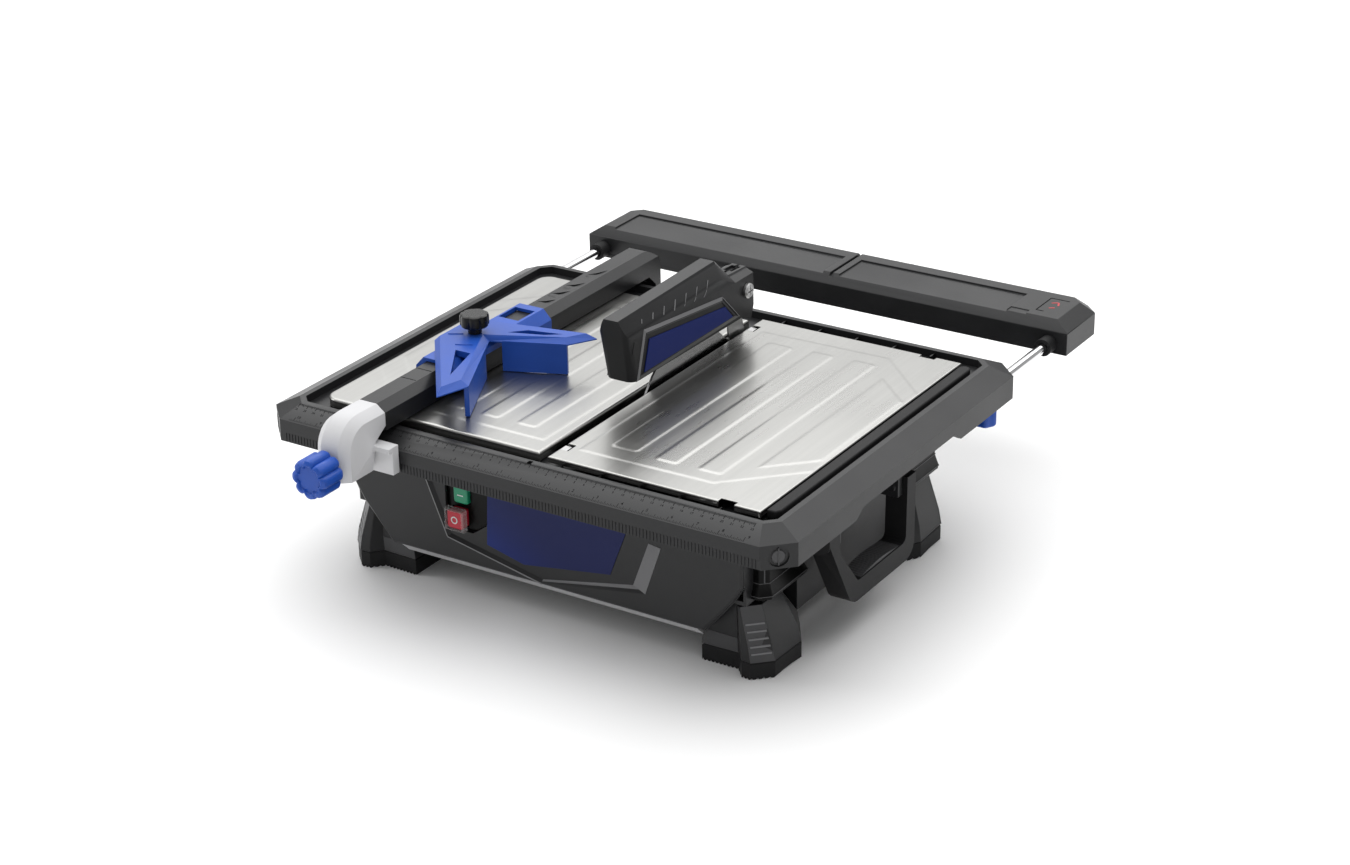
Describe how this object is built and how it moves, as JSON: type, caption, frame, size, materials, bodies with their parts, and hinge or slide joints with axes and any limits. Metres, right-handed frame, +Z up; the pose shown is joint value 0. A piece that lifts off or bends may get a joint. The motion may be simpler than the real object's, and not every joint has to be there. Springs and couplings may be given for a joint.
{
  "type": "wet tile saw",
  "caption": "Bench-top wet tile saw with split steel tables, rip fence with angle guide, lifting blade guard and sliding rear extension.",
  "frame": {"origin": "middle of the bounding box's bottom face, on the bench under the saw", "axes": "+X to the operator's right along the front ruler, +Y from the front to the rear extension, +Z up"},
  "size_m": [0.562, 0.711, 0.2695],
  "materials": {
    "charcoal_plastic": "fine moulded grain",
    "black_plastic": "smooth moulded",
    "blue_plastic": "fine moulded grain",
    "white_plastic": "satin moulded",
    "label_blue": "printed film",
    "stainless": "brushed along the cut",
    "chrome": "polished",
    "steel": "zinc plated",
    "blade_steel": "ground disc with a sintered rim",
    "motor_grey": "cast, painted",
    "bronze": "sintered",
    "rubber": "moulded, matt",
    "green_button": "satin moulded",
    "red_button": "satin moulded"
  },
  "bodies": {
    "base": {"rim_frame": "charcoal_plastic", "body_tub": "charcoal_plastic", "foot_front_left": "rubber", "foot_front_right": "rubber", "foot_rear_left": "rubber", "foot_rear_right": "rubber", "left_plate": "stainless", "front_label": "label_blue", "cable_gland": "black_plastic", "switch_housing": "black_plastic", "motor_can": "motor_grey", "motor_end_bell": "motor_grey", "motor_bracket": "steel", "shaft_bearing_front": "steel", "shaft_bearing_rear": "steel", "water_tray": "black_plastic", "riving_knife": "steel", "knife_arm": "steel", "guard_bolt": "steel", "guard_nut": "steel", "tilt_hinge_front": "steel", "tilt_hinge_rear": "steel", "handle_bracket_front": "charcoal_plastic", "handle_bracket_rear": "charcoal_plastic", "rod_bush_middle_left": "bronze", "rod_bush_middle_right": "bronze", "rod_bush_rear_left": "bronze", "rod_bush_rear_right": "bronze"},
    "blade": {"blade": "blade_steel", "arbor_shaft": "steel", "inner_flange": "steel", "outer_flange": "steel", "arbor_nut": "steel", "motor_rotor": "steel", "motor_fan": "black_plastic"},
    "guard": {"blade_guard": "charcoal_plastic"},
    "fence": {"fence_beam": "charcoal_plastic", "fence_clamp": "white_plastic", "fence_tie_rod": "steel"},
    "clamp_pad": {"clamp_pad": "rubber"},
    "fence_knob": {"fence_knob": "blue_plastic", "clamp_screw": "steel"},
    "guide_saddle": {"guide_saddle": "blue_plastic", "guide_stud": "steel"},
    "guide_head": {"guide_head": "blue_plastic"},
    "guide_knob": {"guide_knob": "black_plastic"},
    "right_table": {"right_plate": "stainless", "table_side_rail": "black_plastic"},
    "extension": {"extension_bar": "charcoal_plastic", "slide_rod_left": "chrome", "slide_rod_right": "chrome", "rod_collar_left": "rubber", "rod_collar_right": "rubber"},
    "lock_left": {"lock_knob_left": "blue_plastic"},
    "lock_right": {"lock_knob_right": "blue_plastic"},
    "handle": {"carry_handle": "charcoal_plastic"},
    "start_button": {"start_button": "green_button"},
    "stop_button": {"stop_button": "red_button"}
  },
  "joints": [
    {"name": "blade_spin", "type": "hinge", "parent": "base", "child": "blade", "pos_m": [0.0135, 0.0055, 0.1195], "axis": [1, 0, 0], "continuous": true},
    {"name": "guard_lift", "type": "hinge", "parent": "base", "child": "guard", "pos_m": [0.0135, 0.0891, 0.2262], "axis": [-1, 0, 0], "range_deg": [0, 55]},
    {"name": "fence_slide", "type": "slide", "parent": "base", "child": "fence", "axis": [1, 0, 0], "range_m": [-0.065, 0.02]},
    {"name": "clamp_pad_slide", "type": "slide", "parent": "fence", "child": "clamp_pad", "axis": [0, 1, 0], "range_m": [-0.0025, 0]},
    {"name": "fence_knob_turn", "type": "hinge", "parent": "clamp_pad", "child": "fence_knob", "pos_m": [-0.1545, -0.2695, 0.1615], "axis": [0, 1, 0], "range_deg": [-720, 0]},
    {"name": "guide_slide", "type": "slide", "parent": "fence", "child": "guide_saddle", "axis": [0, 1, 0], "range_m": [-0.06, 0.13]},
    {"name": "guide_swivel", "type": "hinge", "parent": "guide_saddle", "child": "guide_head", "pos_m": [-0.152, -0.1045, 0.2073], "axis": [0, 0, 1], "range_deg": [-10, 30]},
    {"name": "guide_knob_turn", "type": "hinge", "parent": "guide_saddle", "child": "guide_knob", "pos_m": [-0.152, -0.1045, 0.214], "axis": [0, 0, 1], "range_deg": [0, 360]},
    {"name": "table_tilt", "type": "hinge", "parent": "base", "child": "right_table", "pos_m": [0.0205, -0.0485, 0.1735], "axis": [0, -1, 0], "range_deg": [0, 45]},
    {"name": "extension_slide", "type": "slide", "parent": "base", "child": "extension", "axis": [0, 1, 0], "range_m": [-0.082, 0.148]},
    {"name": "lock_left_turn", "type": "hinge", "parent": "base", "child": "lock_left", "pos_m": [-0.262, 0.1385, 0.13], "axis": [0, 0, 1], "range_deg": [0, 360]},
    {"name": "lock_right_turn", "type": "hinge", "parent": "base", "child": "lock_right", "pos_m": [0.262, 0.1385, 0.13], "axis": [0, 0, 1], "range_deg": [0, 360]},
    {"name": "handle_swing", "type": "hinge", "parent": "base", "child": "handle", "pos_m": [0.251, -0.0795, 0.118], "axis": [0, -1, 0], "range_deg": [0, 90]},
    {"name": "start_press", "type": "slide", "parent": "base", "child": "start_button", "axis": [0, 1, 0], "range_m": [0, 0.003], "stiffness_N_per_m": 500},
    {"name": "stop_press", "type": "slide", "parent": "base", "child": "stop_button", "axis": [0, 1, 0], "range_m": [0, 0.003], "stiffness_N_per_m": 500}
  ],
  "couplings": [
    {"joint": "clamp_pad_slide", "follows": "fence_knob_turn", "m_per_rad": 0.00019894}
  ]
}
